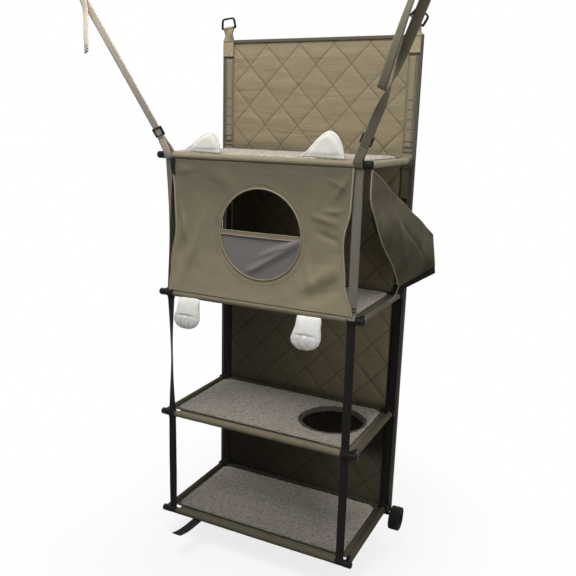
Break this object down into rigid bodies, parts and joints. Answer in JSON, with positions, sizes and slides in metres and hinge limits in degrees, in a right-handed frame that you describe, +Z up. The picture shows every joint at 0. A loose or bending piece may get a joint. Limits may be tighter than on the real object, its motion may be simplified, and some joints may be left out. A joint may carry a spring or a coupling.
{
  "type": "hanging cat tree",
  "caption": "Hanging fabric cat tree: quilted back panel on rings, fold-up rod-framed shelves with fleece mats, a cat house with a round door, and webbing that holds the shelf fronts.",
  "frame": {"origin": "middle of the line through the two hang rings, where hooks bear under the top wires", "axes": "+X to the viewer's right, +Y from the shelf fronts to the back panel, +Z up"},
  "size_m": [0.8433, 0.4662, 1.3664],
  "materials": {
    "quilt": "woven olive canvas, diamond quilted over padding",
    "olive_canvas": "plain woven canvas",
    "pale_webbing": "flat woven beige webbing",
    "grey_webbing": "flat woven grey-olive webbing",
    "black_webbing": "flat woven black webbing",
    "fleece": "curly taupe fleece",
    "felt": "short-pile off-white felt",
    "mesh": "sheer charcoal mesh",
    "black_plastic": "moulded, satin",
    "steel": "plain tube, hidden in the sleeves",
    "black_wire": "black painted steel wire"
  },
  "bodies": {
    "panel": {"back_panel": "quilt", "side_band_left": "olive_canvas", "side_band_right": "olive_canvas", "ring_tab_left": "pale_webbing", "ring_tab_right": "pale_webbing", "side_panel_left": "olive_canvas", "tie_strap_roll": "black_webbing"},
    "ring_left": {"hang_ring_left": "black_wire"},
    "ring_right": {"hang_ring_right": "black_wire"},
    "shelf_1": {"shelf_1_deck": "olive_canvas", "shelf_1_mat": "fleece", "shelf_1_front_rod": "steel", "shelf_1_rear_rod": "steel", "shelf_1_side_rod_left": "steel", "shelf_1_side_rod_right": "steel", "shelf_1_corner_left": "black_plastic", "shelf_1_corner_right": "black_plastic"},
    "shelf_2": {"shelf_2_deck": "olive_canvas", "shelf_2_mat": "fleece", "shelf_2_front_rod": "steel", "shelf_2_rear_rod": "steel", "shelf_2_side_rod_left": "steel", "shelf_2_side_rod_right": "steel", "shelf_2_corner_left": "black_plastic", "shelf_2_corner_right": "black_plastic"},
    "shelf_3": {"shelf_3_deck": "olive_canvas", "shelf_3_mat": "fleece", "shelf_3_front_rod": "steel", "shelf_3_rear_rod": "steel", "shelf_3_side_rod_left": "steel", "shelf_3_side_rod_right": "steel", "shelf_3_corner_left": "black_plastic", "shelf_3_corner_right": "black_plastic", "hole_rim": "olive_canvas"},
    "shelf_4": {"shelf_4_deck": "olive_canvas", "shelf_4_mat": "fleece", "shelf_4_front_rod": "steel", "shelf_4_rear_rod": "steel", "shelf_4_side_rod_left": "steel", "shelf_4_side_rod_right": "steel", "shelf_4_corner_left": "black_plastic", "shelf_4_corner_right": "black_plastic", "tie_strap_front": "black_webbing"},
    "front_webbing": {"front_strap_left": "grey_webbing", "front_strap_right": "grey_webbing", "upper_strap_left": "pale_webbing", "upper_strap_right": "pale_webbing", "front_panel": "olive_canvas", "door_rim": "olive_canvas", "door_mesh": "mesh", "ear_left": "felt", "ear_right": "felt"},
    "side_flap": {"side_flap": "olive_canvas"},
    "paw_left": {"paw_left": "felt"},
    "paw_right": {"paw_right": "felt"},
    "slider_left": {"strap_slider_left": "black_plastic"},
    "slider_right": {"strap_slider_right": "black_plastic"}
  },
  "joints": [
    {"name": "ring_left_swing", "type": "hinge", "parent": "panel", "child": "ring_left", "pos_m": [-0.256, 0, -0.0262], "axis": [1, 0, 0], "range_deg": [-90, 90]},
    {"name": "ring_right_swing", "type": "hinge", "parent": "panel", "child": "ring_right", "pos_m": [0.256, 0, -0.0262], "axis": [1, 0, 0], "range_deg": [-90, 90]},
    {"name": "shelf_1_fold", "type": "hinge", "parent": "panel", "child": "shelf_1", "pos_m": [0, -0.0119, -0.35], "axis": [-1, 0, 0], "range_deg": [0, 80], "deforming": ["side_panel_left"]},
    {"name": "shelf_2_fold", "type": "hinge", "parent": "panel", "child": "shelf_2", "pos_m": [0, -0.0119, -0.688], "axis": [-1, 0, 0], "range_deg": [0, 80]},
    {"name": "shelf_3_fold", "type": "hinge", "parent": "panel", "child": "shelf_3", "pos_m": [0, -0.0119, -1.011], "axis": [-1, 0, 0], "range_deg": [0, 80]},
    {"name": "shelf_4_fold", "type": "hinge", "parent": "panel", "child": "shelf_4", "pos_m": [0, -0.0119, -1.292], "axis": [-1, 0, 0], "range_deg": [0, 80]},
    {"name": "front_webbing_level", "type": "hinge", "parent": "shelf_1", "child": "front_webbing", "pos_m": [0, -0.2959, -0.35], "axis": [-1, 0, 0], "range_deg": [-80, 0]},
    {"name": "side_flap_swing", "type": "hinge", "parent": "front_webbing", "child": "side_flap", "pos_m": [0.27, -0.2959, -0.3589], "axis": [0, 0, -1], "range_deg": [-5, 50]},
    {"name": "paw_left_swing", "type": "hinge", "parent": "front_webbing", "child": "paw_left", "pos_m": [-0.18, -0.30564, -0.691], "axis": [-1, 0, 0], "range_deg": [0, 70]},
    {"name": "paw_right_swing", "type": "hinge", "parent": "front_webbing", "child": "paw_right", "pos_m": [0.1435, -0.30564, -0.691], "axis": [-1, 0, 0], "range_deg": [0, 70]},
    {"name": "slider_left_slide", "type": "slide", "parent": "front_webbing", "child": "slider_left", "axis": [-0.3562, -0.3333, 0.8729], "range_m": [0, 0.09]},
    {"name": "slider_right_slide", "type": "slide", "parent": "front_webbing", "child": "slider_right", "axis": [0.4358, -0.3211, 0.8408], "range_m": [0, 0.09]}
  ],
  "couplings": [
    {"joint": "shelf_2_fold", "follows": "shelf_1_fold", "ratio": 1},
    {"joint": "shelf_3_fold", "follows": "shelf_1_fold", "ratio": 1},
    {"joint": "shelf_4_fold", "follows": "shelf_1_fold", "ratio": 1},
    {"joint": "front_webbing_level", "follows": "shelf_1_fold", "ratio": -1}
  ]
}
